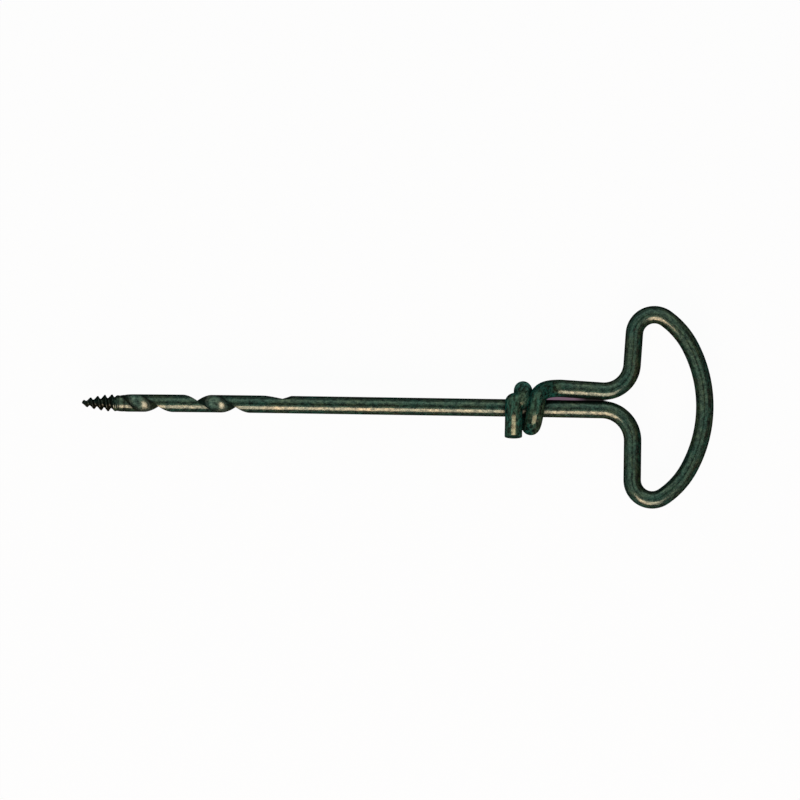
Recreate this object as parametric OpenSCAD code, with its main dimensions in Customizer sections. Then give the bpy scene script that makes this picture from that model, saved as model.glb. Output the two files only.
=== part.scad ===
// Gimlet bent from one length of round steel wire.
// The point of the screw is at the origin and the shank runs along +X to the handle.
// The handle lies flat in the XY plane, with its wrapped side along +Y, and +Z is up.
// Bend radii are measured to the middle of the wire.

/* [Wire] */
// Diameter of the wire that the whole tool is made from
wire_d = 5; // [4:0.1:6]
// Length from the point to the outside of the bow
overall_len = 180; // [150:1:240]

/* [Lead screw] */
// Length of the threaded point
screw_len = 10.2; // [7:0.1:14]
// Turns of thread on the point
screw_turns = 5; // [3:1:7]
// Diameter over the thread at the back of the screw
screw_d = 4.8; // [3.6:0.1:5]
// Diameter of the core at the back of the screw
core_d = 2.9; // [1.8:0.1:3.2]
// Diameter of the tip
tip_d = 0.3; // [0.2:0.05:0.6]
// Length over which the core widens into the bit
core_flare_len = 1.2; // [0.6:0.1:2]

/* [Twist bit] */
// Length of the fluted stretch, with its run-out
bit_len = 49.8; // [35:0.1:65]
// Diameter of the nose where the bit meets the screw
nose_d = 4.7; // [3.6:0.1:4.9]
// Length over which the nose widens to the full wire
nose_len = 3.4; // [1.5:0.1:6]
// Distance along the bit for one turn of the flute
flute_pitch = 22; // [16:0.5:30]
// Radius of the hollow of the flute
flute_r = 5; // [3:0.1:8]
// Depth of the flute below the surface of the wire
flute_depth = 2.1; // [1:0.05:2.2]
// Length over which the flute deepens behind the screw
flute_entry_len = 4; // [1:0.1:8]
// Length over which the flute straightens and runs out into the plain shank
flute_exit_len = 12; // [4:0.5:16]
// Depth of the flute along its run-out
flute_exit_depth = 0.6; // [0.3:0.05:1.6]
// Distance by which the run-out falls behind the steady turn of the flute
flute_lag = 4; // [0:0.1:6]
// Length over which the end of the run-out rises to the surface
flute_lift_len = 2; // [1:0.1:4]
// Depth that is left of the flute at the very end
flute_trace = 0.05; // [0.02:0.01:0.1]
// Angle at which the flute leaves the screw, from +Y towards +Z
flute_start = -10; // [-180:5:180]

/* [Handle] */
// Width of the handle over its two lobes
handle_w = 57.8; // [50:0.2:66]
// Distance from the shank's axis to the middle of the handle
handle_offset = 0.8; // [0:0.1:3]
// Distance from the lobes' centres to the wire at the middle of the bow
bow_depth = 14.7; // [12:0.1:18]
// Angle from the middle of the bow to where it starts to tighten
bow_middle_angle = 28; // [18:0.5:38]
// Radius of the two flanks of the bow
flank_r = 23; // [18:0.1:28]
// Radius of the two lobes
lobe_r = 5.7; // [4.5:0.1:7]
// Distance from the start of the shoulders to the lobes' centres
shoulder_back = 14.6; // [13:0.1:20]
// Radius of the shoulder that continues the shank
lower_shoulder_r = 8.9; // [7:0.1:10]
// Radius of the shoulder on the wrapped side
upper_shoulder_r = 8; // [6.5:0.1:9]

/* [Neck and binding] */
// Distance from the tail of the wire to the start of the shoulders
neck_len = 25.2; // [22:0.1:40]
// Gap between the two legs at the shoulders
leg_gap_shoulder = 0.2; // [0.1:0.05:1]
// Gap between the two legs at the coil
leg_gap_coil = 0.8; // [0.2:0.05:2]
// Clearance between the coil and the shank inside it
coil_clearance = 0.2; // [0.1:0.05:0.5]
// Distance along the shank for one turn of the coil
coil_pitch = 4.8; // [4.7:0.1:8]
// Radius of the bend that takes the leg round into the coil
coil_bend_r = 7; // [6:0.1:8]
// Distance that the last quarter turn steps over to the tail
coil_step = 2.6; // [2.2:0.1:5]
// Angle that the wire follows round past the front before the tail
tail_wrap = 20; // [0:1:40]
// Length of the straight tail
tail_len = 6.5; // [3:0.1:12]
// Bevel left on the rim of the sheared end
shear_bevel = 0.4; // [0.2:0.05:0.8]
// Bare stretch of shank left between its plain run and the coil
coil_margin = 1; // [0.5:0.1:4]
// Angle by which the coil bends the lower leg away from the upper one
leg_lean = 0.2; // [0.1:0.1:2]

/* [Hidden] */
$fn = 96;

wire_color = "#2c4438";
bit_color = "#27392f";

// Round the clock, quarter and half turns in degrees
turn = 360;
half_turn = turn / 2;
quarter_turn = turn / 4;

wire_r = wire_d / 2;

// Places along the shank, from the point
bit_end_x = screw_len + bit_len;
bow_x = overall_len - wire_r;
lobe_x = bow_x - bow_depth;
shoulder_x = lobe_x - shoulder_back;
tail_x = shoulder_x - neck_len;
shank_end_x = tail_x - wire_r - coil_margin;

// Thread: steps in a turn, where its flanks start and where its crest stands
thread_steps = 16;
thread_start_step = 8;
flank_start_share = 3 / 16;
crest_share = 11 / 16;
// Powers of the curves that taper the core and the thread to a blunt ogive
core_power = 0.6;
crest_power = 0.52;
// Share of the screw's length at which the thread is full
full_crest_share = 0.83;

// Flute: points across it, round the rest of the bit, and twist between sections
flute_points = 12;
land_points = 16;
section_twist = 9;
// Share of its full depth that the flute has at the screw
flute_entry_share = 0.6;

// Coil: sides of the tube, sections of the entry bend and angle between the others
coil_sides = 20;
bend_sections = 12;
coil_section_angle = 9;

function polar(radius, angle) = radius * [cos(angle), sin(angle)];
function direction_angle(v) = atan2(v.y, v.x);
function unit(v) = v / norm(v);
function ease(t) = t * t * (3 - 2 * t);
function limit(t) = max(0, min(1, t));

// Solid skin over a row of sections that have the same number of points
module skin(sections) {
    sides = len(sections[0]);
    last = len(sections) - 1;
    walls = [
        for (i = [0:last - 1], j = [0:sides - 1])
            let (a = i * sides + j, b = i * sides + (j + 1) % sides)
                each [[a, b + sides, b], [a, a + sides, b + sides]]
    ];
    front = [for (j = [0:sides - 1]) j];
    back = [for (j = [0:sides - 1]) last * sides + sides - 1 - j];
    polyhedron([for (section = sections) each section], concat(walls, [front, back]), convexity = 10);
}

// Straight wire between two points of the handle's plane
module wire_run(from, to)
    translate([from.x, from.y, 0])
        rotate([0, quarter_turn, direction_angle(to - from)])
            cylinder(d = wire_d, h = norm(to - from));

// Bent wire round a centre in the handle's plane
module wire_bend(centre, bend_r, from, to)
    translate([centre.x, centre.y, 0])
        rotate([0, 0, from])
            rotate_extrude(angle = to - from)
                translate([bend_r, 0])
                    circle(d = wire_d);

// The handle's halves are worked out on the +Y side; side is 1 there and -1 on the other
module on_side(side)
    mirror([0, side < 0 ? 1 : 0, 0])
        children();

// Bow: a wide arc in the middle, with flanks that touch it and the lobes
lobe_reach = handle_w / 2 - wire_r - lobe_r;
flank_inset = bow_depth - flank_r;
bow_rise = 1 - cos(bow_middle_angle);
bow_half = flank_inset * bow_rise + lobe_reach * sin(bow_middle_angle);
bow_rest = pow(flank_inset, 2) + pow(lobe_reach, 2) - pow(flank_r - lobe_r, 2);
flank_step = (bow_half - sqrt(pow(bow_half, 2) - 2 * bow_rise * bow_rest)) / (2 * bow_rise);
bow_r = flank_r + flank_step;

function bow_centre(side) = [bow_x - bow_r, side * handle_offset];
function flank_centre(side) = bow_centre(side) + polar(flank_step, bow_middle_angle);
function lobe_centre(side) = [lobe_x, side * handle_offset + lobe_reach];
flank_end = direction_angle(lobe_centre(1) - flank_centre(1));

// Coil: helix round the shank, counted in degrees from the top of its first turn
coil_r = wire_d + coil_clearance;
coil_top_x = tail_x + coil_step;
coil_end = turn + quarter_turn + tail_wrap;
coil_lead = atan2(coil_pitch, turn * coil_r * PI / half_turn);
bend_turn = quarter_turn - coil_lead;
bend_end = coil_bend_r * (1 - cos(bend_turn)) * half_turn / PI / coil_r;
coil_start_x = coil_x(bend_end) + coil_bend_r * sin(bend_turn);

// Neck: the slight bend of the shank inside the coil
neck_r = (coil_start_x - shank_end_x) / sin(leg_lean);

// Legs: the lower one carries the neck on, the upper one leans from the shoulder to the coil
function leg_start(side) = [coil_start_x, side > 0 ? wire_d + leg_gap_coil : neck_r * (1 - cos(leg_lean))];
function leg_end(side) =
    let (start = leg_start(side))
        [shoulder_x, side > 0 ? wire_d + leg_gap_shoulder : start.y + (shoulder_x - start.x) * tan(leg_lean)];
function leg_angle(side) = direction_angle(leg_end(side) - leg_start(side));

// Arms: the line that touches a shoulder on its inside and a lobe on its outside
function shoulder_r(side) = side > 0 ? upper_shoulder_r : lower_shoulder_r;
function shoulder_centre(side) = leg_end(side) + polar(shoulder_r(side), leg_angle(side) + quarter_turn);
function arm_angle(side) =
    let (span = shoulder_centre(side) - lobe_centre(side))
        turn + direction_angle(span) - acos((lobe_r + shoulder_r(side)) / norm(span));

// Place along the shank at an angle of the coil: steady turns, then the step to the tail
function coil_x(angle) =
    let (t = limit((angle - turn) / quarter_turn))
        angle < turn
            ? coil_top_x + coil_pitch * (turn - angle) / turn
            : coil_top_x - coil_step * ease(t) - coil_pitch / 4 * t * pow(1 - t, 2);

// Middle of the wire through the bend that leads into the coil, and round the coil
function coil_point(x, radius, angle) = [x, radius * cos(angle), radius * sin(angle)];
function bend_point(t) = coil_point(
    coil_start_x - coil_bend_r * sin(bend_turn * t),
    coil_r + (leg_start(1).y - coil_r) * (1 - ease(t)),
    coil_bend_r * (1 - cos(bend_turn * t)) * half_turn / PI / coil_r
);
coil_sections = ceil((coil_end - bend_end) / coil_section_angle);
coil_angles = [for (i = [1:coil_sections]) bend_end + (coil_end - bend_end) * i / coil_sections];
coil_path = concat(
    [for (i = [0:bend_sections]) bend_point(i / bend_sections)],
    [for (angle = coil_angles) coil_point(coil_x(angle), coil_r, angle)]
);
coil_last = len(coil_path) - 1;
leg_direction = [-cos(leg_angle(1)), -sin(leg_angle(1)), 0];
tail_direction = [0, -sin(coil_end), cos(coil_end)];

function coil_direction(i) =
    i == 0 ? leg_direction
    : i == coil_last ? tail_direction
    : unit(coil_path[i + 1] - coil_path[i - 1]);
function coil_section(i) =
    let (middle = coil_path[i], along = coil_direction(i),
         across = unit(cross(along, [0, middle.y, middle.z])), out = cross(across, along))
        [for (j = [0:coil_sides - 1])
            let (p = polar(wire_r, turn * j / coil_sides)) middle + p.x * out + p.y * across];

// Least gap between stretches of the coil that lie half a turn or more apart
half_turn_sections = floor(half_turn / coil_section_angle);
coil_gap = min([
    for (i = [0:coil_last], j = [i + half_turn_sections:1:coil_last])
        norm(coil_path[j] - coil_path[i])
]) - wire_d;
echo(str("Least gap between the turns of the binding coil: ", coil_gap, " mm"));

// Radius of the screw at a section and a step round it
function screw_radius(i, j) =
    let (share = i / (thread_steps * screw_turns),
         flare = limit(1 - screw_len * (1 - share) / core_flare_len),
         core = (tip_d + (core_d - tip_d) * pow(share, core_power) + (nose_d - core_d) * ease(flare)) / 2,
         crest = (tip_d + (screw_d - tip_d) * pow(limit(share / full_crest_share), crest_power)) / 2,
         phase = ((i - j + thread_start_step + thread_steps) % thread_steps) / thread_steps,
         rise = phase < crest_share
             ? limit((phase - flank_start_share) / (crest_share - flank_start_share))
             : (1 - phase) / (1 - crest_share))
        core + max(0, crest - core) * rise;

module lead_screw()
    color(bit_color)
        skin([
            for (i = [0:thread_steps * screw_turns]) [
                for (j = [0:thread_steps - 1])
                    let (p = polar(screw_radius(i, j), turn * j / thread_steps))
                        [screw_len * i / (thread_steps * screw_turns), p.x, p.y]
            ]
        ]);

// Radius of the bit's surface, and depth and turn of its flute, at a distance behind the screw
function bit_surface(x) = wire_r - (wire_d - nose_d) / 2 * pow(1 - limit(x / nose_len), 2);
function flute_entry(x) = flute_entry_share + (1 - flute_entry_share) * ease(limit(x / flute_entry_len));
function flute_exit(x) = 1 - limit((bit_len - x) / flute_exit_len);
function flute_lift(x) = 1 - limit((bit_len - x) / flute_lift_len);
function flute_run(x) = flute_depth * flute_entry(x) * (1 - flute_exit(x)) + flute_exit_depth * flute_exit(x);
function bit_flute(x) = max(flute_trace, flute_run(x) * (1 - pow(flute_lift(x), 2)));
function bit_twist(x) = flute_start + turn * (x - flute_lag * pow(flute_exit(x), 2)) / flute_pitch;

// Outline of the bit with its flute towards the first axis: hollow first, then the round land
function bit_outline(surface_r, depth) =
    let (reach = surface_r + flute_r - depth,
         lip = acos((pow(surface_r, 2) + pow(reach, 2) - pow(flute_r, 2)) / (2 * surface_r * reach)),
         hollow = asin(surface_r * sin(lip) / flute_r))
        concat(
            [for (i = [0:flute_points])
                [reach, 0] - polar(flute_r, hollow * (1 - 2 * i / flute_points))],
            [for (i = [1:land_points - 1])
                polar(surface_r, lip + (turn - 2 * lip) * i / land_points)]
        );

bit_sections = ceil(turn * bit_len / flute_pitch / section_twist);

module twist_bit()
    color(bit_color)
        skin([
            for (i = [0:bit_sections])
                let (x = bit_len * i / bit_sections, twist = bit_twist(x)) [
                    for (p = bit_outline(bit_surface(x), bit_flute(x))) [
                        screw_len + x,
                        p.x * cos(twist) - p.y * sin(twist),
                        p.x * sin(twist) + p.y * cos(twist)
                    ]
                ]
        ]);

module shank()
    color(wire_color)
        wire_run([bit_end_x, 0], [shank_end_x, 0]);

module neck()
    color(wire_color)
        on_side(-1)
            wire_bend([shank_end_x, neck_r], neck_r, -quarter_turn, leg_lean - quarter_turn);

module leg(side)
    on_side(side)
        wire_run(leg_start(side), leg_end(side));

module lower_leg()
    color(wire_color)
        leg(-1);

// Each half of the handle: shoulder bend, straight arm, tight lobe and flank of the bow
module shoulder(side)
    on_side(side)
        wire_bend(
            shoulder_centre(side), shoulder_r(side),
            leg_angle(side) - quarter_turn, arm_angle(side) - half_turn
        );

module arm(side)
    on_side(side)
        wire_run(
            shoulder_centre(side) - polar(shoulder_r(side), arm_angle(side)),
            lobe_centre(side) + polar(lobe_r, arm_angle(side))
        );

module lobe(side)
    on_side(side)
        wire_bend(lobe_centre(side), lobe_r, flank_end, arm_angle(side));

module flank(side)
    on_side(side)
        wire_bend(flank_centre(side), flank_r, bow_middle_angle, flank_end);

module lower_shoulder()
    color(wire_color)
        shoulder(-1);

module lower_arm()
    color(wire_color)
        arm(-1);

module lower_lobe()
    color(wire_color)
        lobe(-1);

module lower_flank()
    color(wire_color)
        flank(-1);

module palm_bow()
    color(wire_color)
        wire_bend(bow_centre(1), bow_r, -bow_middle_angle, bow_middle_angle);

module upper_flank()
    color(wire_color)
        flank(1);

module upper_lobe()
    color(wire_color)
        lobe(1);

module upper_arm()
    color(wire_color)
        arm(1);

module upper_shoulder()
    color(wire_color)
        shoulder(1);

module upper_leg()
    color(wire_color)
        leg(1);

module binding_coil()
    color(wire_color)
        skin([for (i = [0:coil_last]) coil_section(i)]);

module tail()
    color(wire_color)
        translate(coil_path[coil_last])
            rotate([coil_end, 0, 0]) {
                cylinder(d = wire_d, h = tail_len - shear_bevel);
                translate([0, 0, tail_len - shear_bevel])
                    cylinder(d1 = wire_d, d2 = wire_d - 2 * shear_bevel, h = shear_bevel);
            }

lead_screw();
twist_bit();
shank();
neck();
lower_leg();
lower_shoulder();
lower_arm();
lower_lobe();
lower_flank();
palm_bow();
upper_flank();
upper_lobe();
upper_arm();
upper_shoulder();
upper_leg();
binding_coil();
tail();
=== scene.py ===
import math
import bpy
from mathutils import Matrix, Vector, kdtree


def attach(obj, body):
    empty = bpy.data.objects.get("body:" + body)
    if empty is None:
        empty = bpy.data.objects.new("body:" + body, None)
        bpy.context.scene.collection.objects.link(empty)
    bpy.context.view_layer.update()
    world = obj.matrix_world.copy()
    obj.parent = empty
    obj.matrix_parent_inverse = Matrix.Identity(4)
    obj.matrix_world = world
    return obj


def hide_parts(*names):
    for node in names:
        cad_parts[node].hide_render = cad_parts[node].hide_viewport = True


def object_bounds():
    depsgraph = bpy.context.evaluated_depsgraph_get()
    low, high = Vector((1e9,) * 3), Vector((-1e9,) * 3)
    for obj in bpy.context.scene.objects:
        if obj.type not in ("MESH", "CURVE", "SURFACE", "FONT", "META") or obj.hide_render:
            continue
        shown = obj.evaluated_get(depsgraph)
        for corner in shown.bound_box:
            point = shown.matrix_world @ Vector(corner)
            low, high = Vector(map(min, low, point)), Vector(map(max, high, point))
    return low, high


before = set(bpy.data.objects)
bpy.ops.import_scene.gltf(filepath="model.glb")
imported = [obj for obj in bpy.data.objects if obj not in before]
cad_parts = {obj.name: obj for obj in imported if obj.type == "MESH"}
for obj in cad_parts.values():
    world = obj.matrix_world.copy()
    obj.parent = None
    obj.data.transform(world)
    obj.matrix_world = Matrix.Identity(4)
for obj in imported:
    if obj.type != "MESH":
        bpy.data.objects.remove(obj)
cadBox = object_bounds()
print("frame loaded with", len(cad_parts), "nodes")

mm = 0.001
plan = Vector((0, 0, 1))  # the handle lies flat, square to this

wire = {
    "radius": 2.5 * mm,
    "sides": 72,
    "ringGap": 0.5 * mm,  # spacing of the rings round a bend
    "runRings": 12,
    "bendRings": 6,  # the fewest round a bend
    "markPoints": 160,  # points of a stretch's middle line
    "sharpEdge": math.radians(32),
    "weld": 0.001 * mm,
}


def ease(t):
    return t * t * (3 - 2 * t)


def limit(t):
    return max(0.0, min(1.0, t))


def polar(radius, angle):
    return Vector((radius * math.cos(angle), radius * math.sin(angle), 0))


def heading(v):
    return math.atan2(v.y, v.x)


def treeOf(points):
    tree = kdtree.KDTree(len(points))
    for i, point in enumerate(points):
        tree.insert(point, i)
    tree.balance()
    return tree


# Places along the shank, worked from the handle's end back to the point
shank = {
    "length": 180 * mm,
    "screw": 10.2 * mm,
    "bit": 49.8 * mm,
    "neck": 25.2 * mm,
    "coilMargin": 1 * mm,
    "lean": math.radians(0.2),
}
handle = {
    "width": 57.8 * mm,
    "offset": 0.8 * mm,
    "bowDepth": 14.7 * mm,
    "bowMiddle": math.radians(28),
    "flankRadius": 23 * mm,
    "lobeRadius": 5.7 * mm,
    "shoulderBack": 14.6 * mm,
    "lowerShoulder": 8.9 * mm,
    "upperShoulder": 8 * mm,
    "gapAtShoulder": 0.2 * mm,
    "gapAtCoil": 0.8 * mm,
}
coil = {
    "clearance": 0.2 * mm,
    "pitch": 4.8 * mm,
    "bendRadius": 7 * mm,
    "step": 2.6 * mm,
    "tailWrap": math.radians(20),
    "tailLength": 6.5 * mm,
    "shearBevel": 0.25 * mm,
    "shearOver": 1.84 * mm,  # the cutter leaves the far side longer than the near one
    "shearSlant": 0.574,
    "tailRings": 16,
    "bevelRings": 5,
    "tailMarks": 60,
    "faceFrom": 0.9999,  # share of the tail's length where its sheared face begins
    "squareEnd": 0.02 * mm,  # a short straight lead squares the ends
    "bendPoints": 40,
    "turnPoints": 300,
    "kinkFrom": math.radians(61),  # where the last turn steps over, past its top
    "kinkTurn": math.radians(10),
    "kinkPoints": 1500,
    "kinkTailPoints": 300,
    "kinkLineFrom": 1.6 * math.pi,  # the kinked middle line is drawn from here
    "kinkSkinFrom": 1.9 * math.pi,  # and the skin is moved from here
    "capReach": 0.5,  # a point this near the middle line, in radii, is on an end
    "searchFrom": 2.4,  # the kinked skin is looked for inwards from here, in radii
    "searchStep": 0.04,
    "searchHalvings": 16,
}

bitEndX = shank["screw"] + shank["bit"]
bowX = shank["length"] - wire["radius"]
lobeX = bowX - handle["bowDepth"]
shoulderX = lobeX - handle["shoulderBack"]
tailX = shoulderX - shank["neck"]
shankEndX = tailX - wire["radius"] - shank["coilMargin"]

# Bow: wide arc in the middle, flanks that touch it and the lobes
lobeReach = handle["width"] / 2 - wire["radius"] - handle["lobeRadius"]
flankInset = handle["bowDepth"] - handle["flankRadius"]
bowRise = 1 - math.cos(handle["bowMiddle"])
bowHalf = flankInset * bowRise + lobeReach * math.sin(handle["bowMiddle"])
bowRest = flankInset**2 + lobeReach**2 - (handle["flankRadius"] - handle["lobeRadius"]) ** 2
flankStep = (bowHalf - math.sqrt(bowHalf**2 - 2 * bowRise * bowRest)) / (2 * bowRise)
bowRadius = handle["flankRadius"] + flankStep

# Coil: counted in radians from the top of its first turn
coilRadius = 2 * wire["radius"] + coil["clearance"]
coilTopX = tailX + coil["step"]
coilEnd = 2.5 * math.pi + coil["tailWrap"]
bendTurn = math.pi / 2 - math.atan2(coil["pitch"], 2 * math.pi * coilRadius)
bendEnd = coil["bendRadius"] * (1 - math.cos(bendTurn)) / coilRadius
tailWay = Vector((0, -math.sin(coilEnd), math.cos(coilEnd)))


def aroundShank(x, reach, angle):
    return Vector((x, reach * math.cos(angle), reach * math.sin(angle)))


# Place along the shank; past the first turn the last term carries its slope on
def coilPlace(angle):
    t = limit((angle - 2 * math.pi) / (math.pi / 2))
    if angle < 2 * math.pi:
        return coilTopX + coil["pitch"] * (1 - angle / (2 * math.pi))
    return coilTopX - coil["step"] * ease(t) - coil["pitch"] / 4 * t * (1 - t) ** 2


# The same turn with its step pressed into a short kink
def kinkPlace(angle):
    if angle < 2 * math.pi:
        return coilPlace(angle)
    t = limit((angle - 2 * math.pi) / (math.pi / 2))
    pressed = limit((angle - 2 * math.pi - coil["kinkFrom"]) / coil["kinkTurn"])
    return coilTopX - coil["step"] * ease(pressed) - coil["pitch"] / 4 * t * (1 - t) ** 2


coilStartX = coilPlace(bendEnd) + coil["bendRadius"] * math.sin(bendTurn)
neckRadius = (coilStartX - shankEndX) / math.sin(shank["lean"])


# Half of the handle, worked on the upper side and turned over for the lower one
def halfHandle(side):
    upper = side > 0
    legStart = Vector((coilStartX, 2 * wire["radius"] + handle["gapAtCoil"], 0))
    legEnd = Vector((shoulderX, 2 * wire["radius"] + handle["gapAtShoulder"], 0))
    if not upper:
        legStart.y = neckRadius * (1 - math.cos(shank["lean"]))
        legEnd.y = legStart.y + (shoulderX - coilStartX) * math.tan(shank["lean"])
    legAngle = heading(legEnd - legStart)
    shoulderRadius = handle["upperShoulder"] if upper else handle["lowerShoulder"]
    shoulder = legEnd + polar(shoulderRadius, legAngle + math.pi / 2)
    bow = Vector((bowX - bowRadius, side * handle["offset"], 0))
    flank = bow + polar(flankStep, handle["bowMiddle"])
    lobe = Vector((lobeX, side * handle["offset"] + lobeReach, 0))
    flankEnd = heading(lobe - flank)
    span = shoulder - lobe
    lean = math.acos((handle["lobeRadius"] + shoulderRadius) / span.length)
    armAngle = 2 * math.pi + heading(span) - lean
    return [
        {"name": "Leg", "start": legStart, "end": legEnd},
        {"name": "Shoulder", "centre": shoulder, "radius": shoulderRadius,
         "turn": (legAngle - math.pi / 2, armAngle - math.pi)},
        {"name": "Arm", "start": shoulder - polar(shoulderRadius, armAngle),
         "end": lobe + polar(handle["lobeRadius"], armAngle)},
        {"name": "Lobe", "centre": lobe, "radius": handle["lobeRadius"],
         "turn": (armAngle, flankEnd)},
        {"name": "Flank", "centre": flank, "radius": handle["flankRadius"],
         "turn": (flankEnd, handle["bowMiddle"])},
    ]


def turnedOver(stretch):
    flipped = dict(stretch)
    for key in ("start", "end", "centre"):
        if key in flipped:
            flipped[key] = Vector((flipped[key].x, -flipped[key].y, 0))
    if "turn" in flipped:
        flipped["turn"] = tuple(-angle for angle in flipped["turn"])
    return flipped


def backwards(stretch):
    other = dict(stretch)
    if "turn" in other:
        other["turn"] = tuple(reversed(other["turn"]))
    else:
        other["start"], other["end"] = other["end"], other["start"]
    return other


lowerHalf = [turnedOver(s) for s in halfHandle(-1)]
upperHalf = [backwards(s) for s in reversed(halfHandle(1))]
for half, word in ((lowerHalf, "lower"), (upperHalf, "upper")):
    for s in half:
        s["node"] = word + "_" + s["name"].lower()
        s["name"] = word + s["name"]

wireStretches = [
    {"name": "roundShank", "node": "shank",
     "start": Vector((bitEndX, 0, 0)), "end": Vector((shankEndX, 0, 0))},
    {"name": "boundNeck", "node": "neck",
     "centre": Vector((shankEndX, -neckRadius, 0)), "radius": neckRadius,
     "turn": (math.pi / 2, math.pi / 2 - shank["lean"])},
    *lowerHalf,
    {"name": "palmBow", "node": "palm_bow",
     "centre": Vector((bowX - bowRadius, handle["offset"], 0)), "radius": bowRadius,
     "turn": (-handle["bowMiddle"], handle["bowMiddle"])},
    *upperHalf,
]


# Middle line of a stretch, as points close together
def middleLine(stretch):
    shares = [i / wire["markPoints"] for i in range(wire["markPoints"] + 1)]
    if "turn" in stretch:
        a, b = stretch["turn"]
        return [stretch["centre"] + polar(stretch["radius"], a + (b - a) * t) for t in shares]
    return [stretch["start"].lerp(stretch["end"], t) for t in shares]


def coilMiddleLine():
    legY = 2 * wire["radius"] + handle["gapAtCoil"]
    points = []
    for i in range(coil["bendPoints"] + 1):
        t = i / coil["bendPoints"]
        x = coilStartX - coil["bendRadius"] * math.sin(bendTurn * t)
        reach = coilRadius + (legY - coilRadius) * (1 - ease(t))
        angle = coil["bendRadius"] * (1 - math.cos(bendTurn * t)) / coilRadius
        points.append(aroundShank(x, reach, angle))
    for i in range(1, coil["turnPoints"] + 1):
        angle = bendEnd + (coilEnd - bendEnd) * i / coil["turnPoints"]
        points.append(aroundShank(coilPlace(angle), coilRadius, angle))
    return points


# Every piece carries its place on the wire as if it were pulled straight, for the finish to follow
wireRun = {"distance": bitEndX, "along": Vector((1, 0, 0)), "side": Vector((0, 1, 0)), "passed": []}


def markStraight(piece, points):
    tree = treeOf(points)
    marks = []
    distance, along, side = wireRun["distance"], wireRun["along"], wireRun["side"]
    for i, point in enumerate(points):
        ahead = points[min(i + 1, len(points) - 1)] - points[max(i - 1, 0)]
        ahead.normalize()
        side = along.rotation_difference(ahead) @ side
        along = ahead
        if i:
            distance += (point - points[i - 1]).length
        marks.append((point, along.copy(), side.copy(), distance))
        wireRun["passed"].append((point, distance))
    wireRun.update(distance=distance, along=along, side=side)
    straight = piece.data.attributes.new("straight", "FLOAT_VECTOR", "POINT")
    values = []
    for vertex in piece.data.vertices:
        point, ahead, side, far = marks[tree.find(vertex.co)[1]]
        off = vertex.co - point
        values += [far + off.dot(ahead), off.dot(side), off.dot(ahead.cross(side))]
    straight.data.foreach_set("vector", values)


def clearSelection():
    if bpy.context.object and bpy.context.object.mode != "OBJECT":
        bpy.ops.object.mode_set(mode="OBJECT")
    bpy.ops.object.select_all(action="DESELECT")


def wireEnd(name, place, along):
    clearSelection()
    bpy.ops.mesh.primitive_circle_add(
        vertices=wire["sides"], radius=wire["radius"], location=place,
        rotation=along.to_track_quat("Z", "Y").to_euler(),
    )
    piece = bpy.context.object
    piece.name = piece.data.name = name
    bpy.ops.object.transform_apply(location=True, rotation=True, scale=True)
    bpy.ops.object.mode_set(mode="EDIT")
    bpy.ops.mesh.select_mode(type="VERT")
    bpy.ops.mesh.select_all(action="SELECT")
    return piece


def closeEnds(piece):
    bpy.ops.object.mode_set(mode="EDIT")
    bpy.ops.mesh.select_mode(type="VERT")
    bpy.ops.mesh.select_all(action="SELECT")
    bpy.ops.mesh.fill_holes(sides=0)
    bpy.ops.mesh.normals_make_consistent(inside=False)
    bpy.ops.object.mode_set(mode="OBJECT")
    bpy.ops.object.shade_smooth_by_angle(angle=wire["sharpEdge"])


# Straight wire: a round end drawn out in even steps
def drawWire(stretch):
    span = stretch["end"] - stretch["start"]
    piece = wireEnd(stretch["name"], stretch["start"], span)
    for _ in range(wire["runRings"]):
        bpy.ops.mesh.extrude_region_move(TRANSFORM_OT_translate={"value": span / wire["runRings"]})
    closeEnds(piece)
    return piece


# Bent wire: a round end spun about the middle of the bend
def bendWire(stretch):
    a, b = stretch["turn"]
    start = stretch["centre"] + polar(stretch["radius"], a)
    along = polar(1, a + math.copysign(math.pi / 2, b - a))
    piece = wireEnd(stretch["name"], start, along)
    steps = max(wire["bendRings"], math.ceil(stretch["radius"] * abs(b - a) / wire["ringGap"]))
    bpy.ops.mesh.spin(steps=steps, angle=a - b, center=stretch["centre"], axis=plan)
    closeEnds(piece)
    return piece


pieces = {}
for stretch in wireStretches:
    piece = bendWire(stretch) if "turn" in stretch else drawWire(stretch)
    markStraight(piece, middleLine(stretch))
    pieces[stretch["name"]] = (piece, stretch["node"], "wire")
print("wire bent:", len(pieces), "stretches")


def kinkedLine():
    line = []
    for i in range(coil["kinkPoints"] + 1):
        t = i / coil["kinkPoints"]
        angle = coil["kinkLineFrom"] + (coilEnd - coil["kinkLineFrom"]) * t
        line.append(aroundShank(kinkPlace(angle), coilRadius, angle))
    turnEnd = line[-1]
    for i in range(1, coil["kinkTailPoints"] + 1):
        line.append(turnEnd + tailWay * (coil["tailLength"] * i / coil["kinkTailPoints"]))
    return line


# Pushes the skin of the last turn out or in to where the kinked wire's skin is
def pressKink(piece, points):
    kinkTree = treeOf(kinkedLine())
    turnTree = treeOf(points)
    radius = wire["radius"]
    step = coil["searchStep"] * radius
    for vertex in piece.data.vertices:
        middle, i, away = turnTree.find(vertex.co)
        turned = (i - coil["bendPoints"]) / coil["turnPoints"]
        angle = bendEnd + (coilEnd - bendEnd) * turned
        if angle < coil["kinkSkinFrom"] or away < coil["capReach"] * radius:
            continue
        out = (vertex.co - middle) / away
        far = coil["searchFrom"] * radius
        while far > 0 and kinkTree.find(middle + out * far)[2] > radius:
            far -= step
        near, far = far, far + step
        for _ in range(coil["searchHalvings"]):
            half = (near + far) / 2
            if kinkTree.find(middle + out * half)[2] > radius:
                far = half
            else:
                near = half
        vertex.co = middle + out * near


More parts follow.
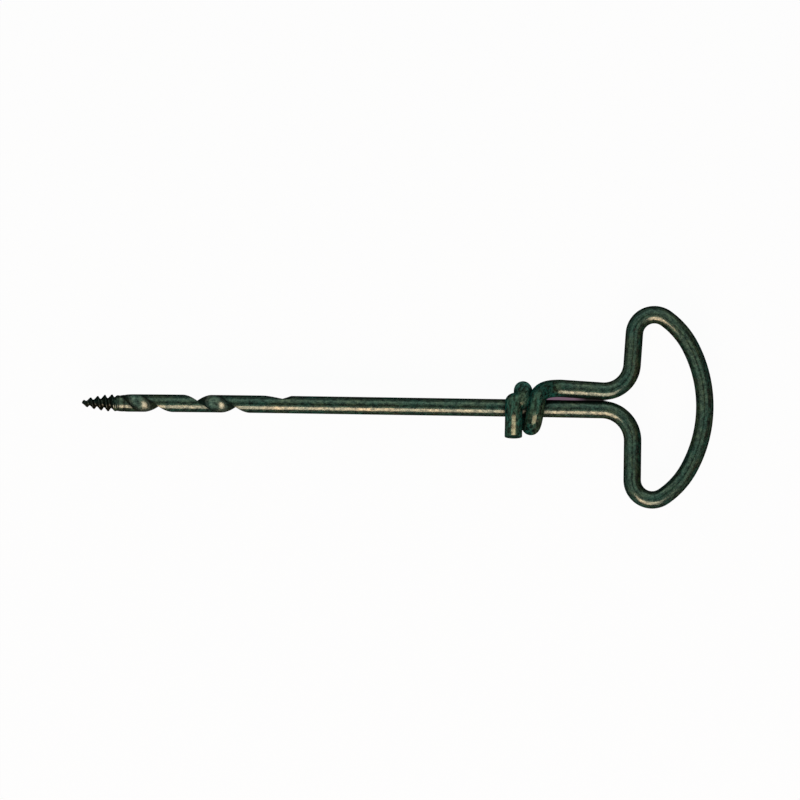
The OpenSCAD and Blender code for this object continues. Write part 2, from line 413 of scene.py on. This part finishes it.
# Coil: a bevelled curve along its middle line, made a mesh
def windCoil():
    points = coilMiddleLine()
    leg = upperHalf[-1]
    first = (leg["end"] - leg["start"]).normalized() * coil["squareEnd"]
    last = tailWay * coil["squareEnd"]
    route = [points[0], points[0] + first, *points[1:-1], points[-1] - last, points[-1]]
    clearSelection()
    bpy.ops.curve.primitive_bezier_curve_add()
    bent = bpy.context.object
    bent.location = (0, 0, 0)
    bent.data.splines.clear()
    spline = bent.data.splines.new("POLY")
    spline.points.add(len(route) - 1)
    for spot, point in zip(spline.points, route):
        spot.co = (*point, 1)
    bent.data.dimensions = "3D"
    bent.data.twist_mode = "MINIMUM"
    bent.data.bevel_depth = wire["radius"]
    bent.data.bevel_resolution = wire["sides"] // 4 - 2  # about as many sides as the rest
    bent.data.use_fill_caps = True
    bpy.ops.object.convert(target="MESH")
    piece = bpy.context.object
    piece.name = piece.data.name = "bindingCoil"
    bpy.ops.object.mode_set(mode="EDIT")
    bpy.ops.mesh.select_all(action="SELECT")
    bpy.ops.mesh.remove_doubles(threshold=wire["weld"])
    bpy.ops.mesh.normals_make_consistent(inside=False)
    bpy.ops.object.mode_set(mode="OBJECT")
    pressKink(piece, points)
    bpy.ops.object.shade_smooth_by_angle(angle=wire["sharpEdge"])
    markStraight(piece, points)
    return piece, points[-1]


coilFrom = wireRun["distance"]
coilPiece, tailStart = windCoil()
pieces["bindingCoil"] = (coilPiece, "binding_coil", "wire")


# Tail: drawn straight on from the coil, cut off at a slant with its edge turned in
def shearTail():
    nearSide = tailWay.cross(Vector((1, 0, 0)))
    length = coil["tailLength"] + coil["shearOver"]
    piece = wireEnd("shearedTail", tailStart, tailWay)
    body = tailWay * (length - coil["shearBevel"])
    for _ in range(coil["tailRings"]):
        bpy.ops.mesh.extrude_region_move(TRANSFORM_OT_translate={"value": body / coil["tailRings"]})
    middle = tailStart + body
    size = wire["radius"]
    for i in range(coil["bevelRings"]):
        turned = math.pi / 2 * (i + 1) / coil["bevelRings"]
        before = turned - math.pi / 2 / coil["bevelRings"]
        rise = coil["shearBevel"] * (math.sin(turned) - math.sin(before))
        newSize = wire["radius"] - coil["shearBevel"] * (1 - math.cos(turned))
        bpy.ops.mesh.extrude_region_move(TRANSFORM_OT_translate={"value": tailWay * rise})
        middle = middle + tailWay * rise
        bpy.ops.transform.resize(value=(newSize / size,) * 3, center_override=middle)
        size = newSize
    closeEnds(piece)
    ground = piece.data.attributes.new("ground", "FLOAT", "POINT")
    for v in piece.data.vertices:
        off = v.co - tailStart
        far = off.dot(tailWay) / length
        v.co -= tailWay * (coil["shearSlant"] * (off.dot(nearSide) + wire["radius"]) * far)
        ground.data[v.index].value = 1.0 if far > coil["faceFrom"] else 0.0
    bpy.ops.object.shade_smooth_by_angle(angle=wire["sharpEdge"])
    tailEnd = tailStart + tailWay * length
    marks = [i / coil["tailMarks"] for i in range(coil["tailMarks"] + 1)]
    markStraight(piece, [tailStart.lerp(tailEnd, t) for t in marks])
    return piece


pieces["shearedTail"] = (shearTail(), "tail", "wire")
print("coil wound and tail sheared")


# Round blank with even rings, for the bit and the screw to be cut from
def roundBlank(name, sides, startX, length, rings):
    clearSelection()
    bpy.ops.mesh.primitive_circle_add(
        vertices=sides, radius=wire["radius"], location=(startX, 0, 0), rotation=(0, math.pi / 2, 0)
    )
    piece = bpy.context.object
    piece.name = piece.data.name = name
    bpy.ops.object.transform_apply(location=True, rotation=True, scale=True)
    sweep = piece.modifiers.new("rings", "SCREW")
    sweep.axis = "X"
    sweep.angle = 0
    sweep.screw_offset = length
    sweep.steps = sweep.render_steps = rings
    sweep.use_smooth_shade = True
    bpy.ops.object.modifier_apply(modifier="rings")
    return piece


# Which of the blank's columns a point is on, counted from +Y towards +Z
def columnOf(point, sides):
    return round((math.atan2(point.z, point.y) / (2 * math.pi) % 1) * sides)


bit = {
    "noseDiameter": 4.7 * mm,
    "noseLength": 3.4 * mm,
    "pitch": 22 * mm,
    "hollowRadius": 60 * mm,
    "depth": 1.65 * mm,
    "entryLength": 6 * mm,
    "entryShare": 0.15,
    "exitLength": 12 * mm,
    "exitDepth": 0.6 * mm,
    "lag": 4 * mm,
    "liftLength": 2 * mm,
    "trace": 0.05 * mm,
    "start": math.radians(-10),
    "sides": 120,
    "nicks": (0.1 * mm, 1.95 * mm),  # file marks across the nose
    "nickWidth": 0.32 * mm,
    "nickDepth": 0.05 * mm,
    # painted shade in the file marks
    "nickShade": 0.9,
    "hollowShare": 0.4,
    "groundEdge": 0.15,  # how soon the ground floor of the flute begins inside its lip
    # painted shade along the flute's lips
    "lipShade": 0.7,
    "lipWidth": 0.05,
    "lipFade": 0.125,  # share of the bit over which the lip's shade fades at the end
    "sag": 0.345 * mm,  # the bit has been used, and its point isn't quite in line
    "rings": 300,
}


def nicked(x):
    return sum(math.exp(-(((x - nick) / bit["nickWidth"]) ** 2)) for nick in bit["nicks"])


# Where a point of the blank goes when the flute is cut: x from the screw, share once round
def fluted(x, share):
    noseDrop = wire["radius"] - bit["noseDiameter"] / 2
    surface = wire["radius"] - noseDrop * (1 - limit(x / bit["noseLength"])) ** 2
    surface -= bit["nickDepth"] * nicked(x)
    leave = 1 - limit((shank["bit"] - x) / bit["exitLength"])
    lift = 1 - limit((shank["bit"] - x) / bit["liftLength"])
    entry = bit["entryShare"] + (1 - bit["entryShare"]) * ease(limit(x / bit["entryLength"]))
    depth = bit["depth"] * entry * (1 - leave) + bit["exitDepth"] * leave
    depth = max(bit["trace"], depth * (1 - lift**2))
    turned = bit["start"] + 2 * math.pi * (x - bit["lag"] * leave**2) / bit["pitch"]
    reach = surface + bit["hollowRadius"] - depth
    lip = math.acos((surface**2 + reach**2 - bit["hollowRadius"] ** 2) / (2 * surface * reach))
    hollow = math.asin(surface * math.sin(lip) / bit["hollowRadius"])
    if share < bit["hollowShare"]:
        a = hollow * (1 - 2 * share / bit["hollowShare"])
        spot = Vector((reach, 0, 0)) - polar(bit["hollowRadius"], a)
    else:
        outside = (share - bit["hollowShare"]) / (1 - bit["hollowShare"])
        spot = polar(surface, lip + (2 * math.pi - 2 * lip) * outside)
    return Vector((
        shank["screw"] + x,
        spot.x * math.cos(turned) - spot.y * math.sin(turned),
        spot.x * math.sin(turned) + spot.y * math.cos(turned),
    ))


def outOfLine(x):
    return Vector((0, -bit["sag"] * (1 - x / bitEndX) ** 2, 0))


def markAsItLies(piece):
    straight = piece.data.attributes.new("straight", "FLOAT_VECTOR", "POINT")
    straight.data.foreach_set("vector", [c for v in piece.data.vertices for c in v.co])


def cutBit():
    piece = roundBlank("twistBit", bit["sides"], shank["screw"], shank["bit"], bit["rings"])
    ground = piece.data.attributes.new("ground", "FLOAT", "POINT")
    dark = piece.data.attributes.new("paintedShade", "FLOAT", "POINT")
    for v in piece.data.vertices:
        share = columnOf(v.co, bit["sides"]) / bit["sides"] % 1
        ring = round((v.co.x - shank["screw"]) / shank["bit"] * bit["rings"])
        along = shank["bit"] * ring / bit["rings"]
        v.co = fluted(along, share)
        v.co += outOfLine(v.co.x)
        inside = 1 - abs(2 * share / bit["hollowShare"] - 1)
        fromLip = min(share, abs(share - bit["hollowShare"]), 1 - share)
        left = 1 - ring / bit["rings"]
        ground.data[v.index].value = ease(limit(inside / bit["groundEdge"]))
        # painted shade: film and gloss are darkened along the flute's lips
        lipDark = bit["lipShade"] * (1 - ease(limit(fromLip / bit["lipWidth"])))
        lipDark *= limit(left / bit["lipFade"])
        # painted shade in the file marks across the nose
        nickDark = bit["nickShade"] * nicked(along)
        dark.data[v.index].value = limit(lipDark + nickDark)
    closeEnds(piece)
    markAsItLies(piece)
    return piece


pieces["twistBit"] = (cutBit(), "twist_bit", "bit")

screw = {
    "turns": 5,
    "diameter": 4.8 * mm,
    "core": 3.45 * mm,
    "tip": 0.3 * mm,
    "flareLength": 1.2 * mm,
    "coreTaper": 0.6,
    "crestTaper": 0.45,
    "fullCrest": 0.7,
    "crestLevel": 0.84,  # the crest is worn off here
    "flankStart": 3 / 16,
    "crest": 11 / 16,
    "sides": 96,
    "rings": 384,
    "nosePoints": 720,
}


# How far the bit's first section reaches at each angle
noseSection = sorted(
    (math.atan2(spot.z, spot.y) % (2 * math.pi), math.hypot(spot.y, spot.z))
    for spot in (fluted(0, i / screw["nosePoints"]) for i in range(screw["nosePoints"]))
)


def noseReach(angle):
    angle %= 2 * math.pi
    return min(noseSection, key=lambda spot: abs(spot[0] - angle))[1]


def threaded(share, angle):
    taper = share ** screw["coreTaper"]
    crestRise = limit(share / screw["fullCrest"]) ** screw["crestTaper"]
    flare = ease(limit(1 - shank["screw"] * (1 - share) / screw["flareLength"]))
    core = (screw["tip"] + (screw["core"] - screw["tip"]) * taper) / 2
    crest = (screw["tip"] + (screw["diameter"] - screw["tip"]) * crestRise) / 2
    if flare:
        core += (noseReach(angle) - core) * flare
        crest += (noseReach(angle) - crest) * flare
    phase = (screw["turns"] * share - angle / (2 * math.pi) + 0.5) % 1
    if phase < screw["crest"]:
        rise = limit((phase - screw["flankStart"]) / (screw["crest"] - screw["flankStart"]))
    else:
        rise = (1 - phase) / (1 - screw["crest"])
    return core + max(0.0, crest - core) * limit(rise / screw["crestLevel"])


def cutScrew():
    piece = roundBlank("leadScrew", screw["sides"], 0, shank["screw"], screw["rings"])
    for v in piece.data.vertices:
        share = limit(v.co.x / shank["screw"])
        step = columnOf(v.co, screw["sides"])
        # each column of points follows the thread, so that the crest is one clean line
        angle = 2 * math.pi * (step / screw["sides"] + screw["turns"] * share)
        radius = threaded(share, angle)
        v.co = (shank["screw"] * share, radius * math.cos(angle), radius * math.sin(angle))
        v.co += outOfLine(v.co.x)
    closeEnds(piece)
    markAsItLies(piece)
    for face in piece.data.polygons:  # the flare is as worn as the bit
        face.material_index = int(face.center.x > shank["screw"] - screw["flareLength"])
    return piece


pieces["leadScrew"] = (cutScrew(), "lead_screw", "bit")
print("bit fluted and screw cut")


# A socket that takes sums, so that a finish reads as plain maths
class Blend:
    def __init__(self, tree, socket=None):
        self.tree = tree
        self.socket = socket

    def node(self, kind, settings, sockets, output=0):
        made = self.tree.nodes.new("ShaderNode" + kind)
        for key, value in settings.items():
            setattr(made, key, value)
        for key, value in sockets.items():
            if isinstance(value, Blend):
                self.tree.links.new(value.socket, made.inputs[key])
            else:
                made.inputs[key].default_value = value
        return Blend(self.tree, made.outputs[output])

    def maths(self, operation, a, b):
        return self.node("Math", {"operation": operation}, {0: a, 1: b})

    def __add__(self, other):
        return self.maths("ADD", self, other)

    def __radd__(self, other):
        return self.maths("ADD", other, self)

    def __sub__(self, other):
        return self.maths("SUBTRACT", self, other)

    def __rsub__(self, other):
        return self.maths("SUBTRACT", other, self)

    def __mul__(self, other):
        return self.maths("MULTIPLY", self, other)

    def __rmul__(self, other):
        return self.maths("MULTIPLY", other, self)

    def stretched(self, by):
        return self.node("VectorMath", {"operation": "MULTIPLY"}, {0: self, 1: by})

    def noise(self, scale, detail=2.0, rough=0.5):
        return self.node("TexNoise", {}, {
            "Vector": self, "Scale": scale, "Detail": detail, "Roughness": rough,
        })

    def between(self, low, high, first=0.0, last=1.0):
        return self.node("MapRange", {}, {
            "Value": self, "From Min": low, "From Max": high, "To Min": first, "To Max": last,
        })

    # sockets 6 and 7, and output 2, are the ones for colour
    def tint(self, a, b):
        return self.node("Mix", {"data_type": "RGBA"}, {0: self, 6: a, 7: b}, 2)


def rgb(r, g, b):
    return (r, g, b, 1.0)


# Painted shade: where one run of the wire lies close to another, its colour is darkened and its
# gloss dulled
paintedShade = {
    "apart": 12 * mm,
    "reach": 1.1 * mm,
    "underReach": 2.8 * mm,  # for the runs that the coil and the other leg cover
    "under": ("boundNeck", "lowerLeg", "upperLeg"),
    "closed": 0.3 * mm,
}


# painted shade: each point is darkened by how near the other runs of the wire lie
def paintShadeWhereRunsMeet(piece, tree):
    marks = piece.data.attributes
    dark = marks.get("paintedShade") or marks.new("paintedShade", "FLOAT", "POINT")
    straight = marks["straight"].data
    reach = paintedShade["underReach"] if piece.name in paintedShade["under"] else paintedShade["reach"]
    for vertex in piece.data.vertices:
        # its own place on the wire, then that of each strand found near it
        strands = [straight[vertex.index].vector.x]
        shade = dark.data[vertex.index].value
        found = tree.find_range(vertex.co, wire["radius"] + reach)
        for point, i, away in sorted(found, key=lambda near: near[2]):
            place = wireRun["passed"][i][1]
            if min(abs(place - strand) for strand in strands) > paintedShade["apart"]:
                strands.append(place)
                gap = away - wire["radius"] - paintedShade["closed"]
                shade += 1 - ease(limit(gap / (reach - paintedShade["closed"])))
        dark.data[vertex.index].value = limit(shade)


runTree = treeOf([point for point, distance in wireRun["passed"]])
for piece, node, slot in pieces.values():
    paintShadeWhereRunsMeet(piece, runTree)

wireFinish = {
    "black": rgb(0.0015, 0.003, 0.0025),
    "teal": rgb(0.003, 0.040, 0.030),
    "olive": rgb(0.013, 0.033, 0.013),
    "rust": rgb(0.034, 0.016, 0.012),
    "paintedShadeTone": rgb(0.004, 0.005, 0.005),
    "coilTeal": rgb(0.010, 0.088, 0.072),
    "coilOlive": rgb(0.030, 0.064, 0.036),
    "coilGleam": rgb(0.45, 0.58, 0.40),
    "coilBlend": 2.0,
    "paintedPaleTop": rgb(0.10, 0.28, 0.24),  # painted highlight: the top of the last turn is painted paler
    "paintedPaleTopRun": (33.0, 36.0, 38.5, 42.0),
    # painted shade in the flute's hollow and on the tail's sheared face
    "paintedGroundShade": 0.5,
    "gleamTeal": rgb(0.62, 0.95, 0.80),
    "gleamOlive": rgb(0.82, 0.92, 0.67),
    "gleamShare": 0.105,
    "edgeShare": 0.05,  # how much gloss is left where the skin turns away
    "roughness": 0.2,
    "grainRough": 0.12,
    "groundGleam": 0.5,
    "groundRough": 0.09,
    "filmRough": 0.6,
    "facing": (0.08, 0.42),
    "paintedShadeDull": 0.8,
    # sizes of the noises, as waves to a millimetre along the wire and across it
    "patchWaves": (0.15, 0.3, 0.3),
    "drawnWaves": (0.12, 5, 5),
    "speckleWaves": (0.8, 1.2, 1.2),
    "grainWaves": 2.6,
    "noiseDetail": (3.0, 2.0),  # of the patches and drawing lines, then of the rest
    "noiseRough": 0.6,
    "patchEdge": (0.4, 0.6),
    "mottleMix": (0.6, 0.4),
    "mottleEdge": (0.42, 0.62),
    "rustEdge": (0.59, 0.72),
    "sheenMix": 0.5,
    "sheenEdge": (0.36, 0.64),
    "wornSpan": (0.3, 0.7),
    "wornSpeckle": (0.5, 1.5),
    "wornGrain": (0.6, 1.4),
    "wornPatches": (0.8, 1.2),
    "bumpMix": (0.2, 0.3, 0.4),
    "bumpStrength": 0.3,
    "bumpDistance": 0.04 * mm,
}
screwFinish = dict(wireFinish, teal=rgb(0.003, 0.014, 0.011), olive=rgb(0.008, 0.011, 0.006),
                   gleamShare=0.03, roughness=0.3)


def finishMaterial(name, look):
    material = bpy.data.materials.new(name)
    material.use_nodes = True
    tree = material.node_tree
    tree.nodes.clear()
    start = Blend(tree)
    place = start.node("Attribute", {"attribute_name": "straight"}, {}, "Vector")
    place = place.stretched((1 / mm,) * 3)
    paintedShadeMask = start.node("Attribute", {"attribute_name": "paintedShade"}, {}, "Fac")
    ground = start.node("Attribute", {"attribute_name": "ground"}, {}, "Fac")
    fine, coarse = look["noiseDetail"]
    patches = place.stretched(look["patchWaves"]).noise(1.0, fine)
    drawn = place.stretched(look["drawnWaves"]).noise(1.0, fine, look["noiseRough"])
    speckle = place.stretched(look["speckleWaves"]).noise(1.0, coarse, look["noiseRough"])
    grain = place.noise(look["grainWaves"], coarse, look["noiseRough"])
    run = start.node("SeparateXYZ", {}, {0: place}, "X")

    # film: patches of two greens, mottled black, with specks of rust; painted shade darkens it
    # where runs lie close, at the bit's lips and nicks, in the flute and on the tail's cut face,
    # and a painted highlight pales the top of the last turn
    wound = run.between(coilFrom / mm - look["coilBlend"], coilFrom / mm + look["coilBlend"])
    olive = wound.tint(look["olive"], look["coilOlive"])
    teal = wound.tint(look["teal"], look["coilTeal"])
    colour = patches.between(*look["patchEdge"]).tint(teal, olive)
    # painted highlight: a paler patch on the top of the last turn
    begin, full, fade, end = (coilFrom / mm + far for far in look["paintedPaleTopRun"])
    paintedPaleTop = run.between(begin, full) * run.between(fade, end, 1.0, 0.0)
    colour = paintedPaleTop.tint(colour, look["paintedPaleTop"])
    speckleShare, grainShare = look["mottleMix"]
    mottle = (speckle * speckleShare + grain * grainShare).between(*look["mottleEdge"])
    colour = mottle.tint(look["black"], colour)
    colour = grain.between(*look["rustEdge"]).tint(colour, look["rust"])
    # painted shade: the film is darkened where runs lie close, at the bit's lips and in its nicks
    colour = paintedShadeMask.tint(colour, look["paintedShadeTone"])
    # painted shade: the film is darker in the flute's hollow and on the tail's sheared face
    colour = (ground * look["paintedGroundShade"]).tint(colour, look["paintedShadeTone"])
    drawnRise, grainRise, speckleRise = look["bumpMix"]
    bump = start.node("Bump", {}, {
        "Strength": look["bumpStrength"], "Distance": look["bumpDistance"],
        "Height": drawn * drawnRise + grain * grainRise + speckle * speckleRise,
    }, "Normal")
    film = start.node("BsdfPrincipled", {}, {
        "Base Color": colour, "Roughness": look["filmRough"], "Specular IOR Level": 0.0,
        "Normal": bump,
    })

    # gleam: bare steel showing through where the film is worn thin
    sheen = patches * look["sheenMix"] + speckle * (1 - look["sheenMix"])
    sheen = sheen.between(*look["sheenEdge"]).tint(look["gleamTeal"], look["gleamOlive"])
    sheen = wound.tint(sheen, look["coilGleam"])
    rough = grain * look["grainRough"] + ground * look["groundRough"]
    rough = rough + (look["roughness"] - look["grainRough"] / 2)
    gleam = start.node("BsdfPrincipled", {}, {
        "Base Color": sheen, "Metallic": 1.0, "Specular Tint": rgb(0, 0, 0),
        "Roughness": rough, "Normal": bump,
    })
    worn = speckle.between(*look["wornSpan"], *look["wornSpeckle"])
    worn = worn * grain.between(*look["wornSpan"], *look["wornGrain"])
    worn = worn * patches.between(*look["wornSpan"], *look["wornPatches"])
    turnedAway = start.node("LayerWeight", {}, {"Blend": 0.5}, "Facing")
    turnedAway = turnedAway.between(*look["facing"], 1.0, look["edgeShare"])
    share = worn * look["gleamShare"] * turnedAway
    # painted shade: the gloss is dulled where runs lie close, at the bit's lips and in its nicks
    share = share * (1 - paintedShadeMask * look["paintedShadeDull"]) * (ground * look["groundGleam"] + 1)
    both = start.node("MixShader", {}, {0: share, 1: film, 2: gleam})
    output = tree.nodes.new("ShaderNodeOutputMaterial")
    tree.links.new(both.socket, output.inputs["Surface"])
    return material


finishes = {
    "wire": finishMaterial("darkWire", wireFinish),
    "bit": finishMaterial("darkBit", wireFinish),
    "leadScrew": finishMaterial("darkScrew", screwFinish),
}
for name, (piece, node, slot) in pieces.items():
    piece.data.materials.append(finishes.get(name, finishes[slot]))
    if name == "leadScrew":
        piece.data.materials.append(finishes["bit"])
    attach(piece, "root")
    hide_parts(node)
print("finished", len(pieces), "pieces")

studio = {
    "middle": Vector((90.6, 1.8, 0)) * mm,
    "viewWidth": 228 * mm,
    "roll": math.radians(0.86),
    "lens": 250,
    "sensor": 36,
    "clipEnd": 20,
    "floorSize": 5.0,
    "floorColour": rgb(0.56, 0.61, 0.64),
    "floorGlow": 0.96,
    "slitColour": rgb(0.17, 0.10, 0.145),  # the floor seen between the legs, in their shade
    "slitClosed": rgb(0.004, 0.003, 0.004),  # where they all but touch
    "slitCloses": (shoulderX - 7.7 * mm, shoulderX - 4.2 * mm),
    "slitStart": (coilTopX, coilTopX + 2 * mm),
    "slitEnd": (shoulderX + 0.6 * mm, shoulderX + 2 * mm),
    "slitLow": (wire["radius"] - 0.4 * mm, wire["radius"] - 0.1 * mm),
    "slitHigh": (wire["radius"] + 0.8 * mm, wire["radius"] + 1.1 * mm),
    "worldColour": rgb(0.43, 0.55, 0.51),
    "worldRise": (0.1, 0.55),  # the air is darker low down
    "worldLow": 0.35,
    "distance": 1.0,
    "keyTilt": math.radians(50),
    "keySize": (0.86, 0.72),
    "keyColour": (1.0, 0.605, 0.505),
    "keyRadiance": 6.9,
    "fillTilt": math.radians(60),
    "fillSize": (1.6, 0.6),
    "fillColour": (0.85, 1.0, 0.93),
    "backFill": 0.42,
    "sideFill": 0.02,
    "flagMiddle": (70 * mm, 125 * mm),  # over the shank, to either side of straight up
    "flagSize": (270 * mm, 530 * mm),
    "flagShade": 0.05,
    "darkTilt": math.radians(64),
    "darkSize": (1.4, 0.9),
    "darkShade": 0.2,
    "cardRough": 0.9,
}


def softbox(name, towards, size, colour, radiance):
    spot = studio["middle"] + towards * studio["distance"]
    bpy.ops.object.light_add(type="AREA", location=spot)
    lamp = bpy.context.object
    lamp.name = name
    lamp.rotation_euler = towards.to_track_quat("Z", "Y").to_euler()
    lamp.data.shape = "RECTANGLE"
    lamp.data.size, lamp.data.size_y = size
    lamp.data.color = colour
    lamp.data.energy = radiance * math.pi * size[0] * size[1]
    lamp.visible_camera = False


# A dark card out of the picture, for the wire to mirror
def card(name, place, towards, size, shade):
    clearSelection()
    bpy.ops.mesh.primitive_plane_add(size=1, location=place)
    sheet = bpy.context.object
    sheet.name = name
    sheet.rotation_euler = towards.to_track_quat("Z", "Y").to_euler()
    sheet.scale = (*size, 1)
    sheet.visible_camera = False
    cloth = bpy.data.materials.new(name)
    cloth.use_nodes = True
    skin = cloth.node_tree.nodes["Principled BSDF"].inputs
    skin["Base Color"].default_value = rgb(shade, shade, shade)
    skin["Roughness"].default_value = studio["cardRough"]
    sheet.data.materials.append(cloth)


def sidewards(x, y, tilt):
    return Vector((x * math.sin(tilt), y * math.sin(tilt), math.cos(tilt)))


def layFloor():
    clearSelection()
    bpy.ops.mesh.primitive_plane_add(size=studio["floorSize"], location=(0, 0, cadBox[0].z))
    floor = bpy.context.object
    floor.name = "floor"
    paper = bpy.data.materials.new("palePaper")
    paper.use_nodes = True
    tree = paper.node_tree
    tree.nodes.clear()
    start = Blend(tree)
    path = tree.nodes.new("ShaderNodeLightPath")
    seen = Blend(tree, path.outputs["Is Camera Ray"])
    seen = seen + Blend(tree, path.outputs["Is Glossy Ray"])
    seen = seen + Blend(tree, path.outputs["Is Transmission Ray"])
    spot = start.node("TexCoord", {}, {}, "Object")
    along = start.node("SeparateXYZ", {}, {0: spot}, "X")
    across = start.node("SeparateXYZ", {}, {0: spot}, "Y")
    # painted shadow: a dark strip on the floor under the slit between the legs, darkest where they
    # all but touch
    slit = along.between(*studio["slitStart"]) * along.between(*studio["slitEnd"], 1.0, 0.0)
    slit = slit * across.between(*studio["slitLow"])
    slit = slit * across.between(*studio["slitHigh"], 1.0, 0.0)
    shade = along.between(*studio["slitCloses"])
    shade = shade.tint(studio["slitColour"], studio["slitClosed"])
    sheet = start.node("BsdfDiffuse", {}, {"Color": studio["floorColour"]})
    tone = slit.tint(rgb(1, 1, 1), shade)
    glow = start.node("Emission", {}, {"Color": tone, "Strength": 1.0})
    lit = seen * studio["floorGlow"]
    mix = start.node("MixShader", {}, {0: lit, 1: sheet, 2: glow})
    output = tree.nodes.new("ShaderNodeOutputMaterial")
    tree.links.new(mix.socket, output.inputs["Surface"])
    floor.data.materials.append(paper)


def hangLights():
    softbox("keyLight", sidewards(0, -1, studio["keyTilt"]), studio["keySize"],
            studio["keyColour"], studio["keyRadiance"])
    softbox("backFill", sidewards(0, 1, studio["fillTilt"]), studio["fillSize"],
            studio["fillColour"], studio["backFill"])
    softbox("sideFill", sidewards(-1, 0, studio["fillTilt"]), studio["fillSize"],
            studio["fillColour"], studio["sideFill"])
    card("topFlag", Vector((*studio["flagMiddle"], studio["distance"])), plan,
         studio["flagSize"], studio["flagShade"])
    side = sidewards(1, 0, studio["darkTilt"])
    card("darkSide", studio["middle"] + side * studio["distance"], side,
         studio["darkSize"], studio["darkShade"])


def fillAir():
    world = bpy.data.worlds.new("studioAir")
    bpy.context.scene.world = world
    world.use_nodes = True
    air = world.node_tree.nodes["Background"]
    air.inputs["Color"].default_value = studio["worldColour"]
    start = Blend(world.node_tree)
    way = start.node("TexCoord", {}, {}, "Generated")
    height = start.node("SeparateXYZ", {}, {0: way}, "Z")
    strength = height.between(*studio["worldRise"], studio["worldLow"], 1.0)
    world.node_tree.links.new(strength.socket, air.inputs["Strength"])


def setCamera():
    bpy.ops.object.camera_add()
    camera = bpy.context.object
    camera.data.sensor_width = studio["sensor"]
    camera.data.lens = studio["lens"]
    away = studio["viewWidth"] / 2 / (camera.data.sensor_width / 2 / camera.data.lens)
    camera.location = studio["middle"] + Vector((0, 0, away))
    camera.rotation_euler = (0, 0, studio["roll"])
    camera.data.clip_end = studio["clipEnd"]
    bpy.context.scene.camera = camera
    bpy.context.scene.view_settings.view_transform = "Standard"


layFloor()
hangLights()
fillAir()
setCamera()
print("studio set")
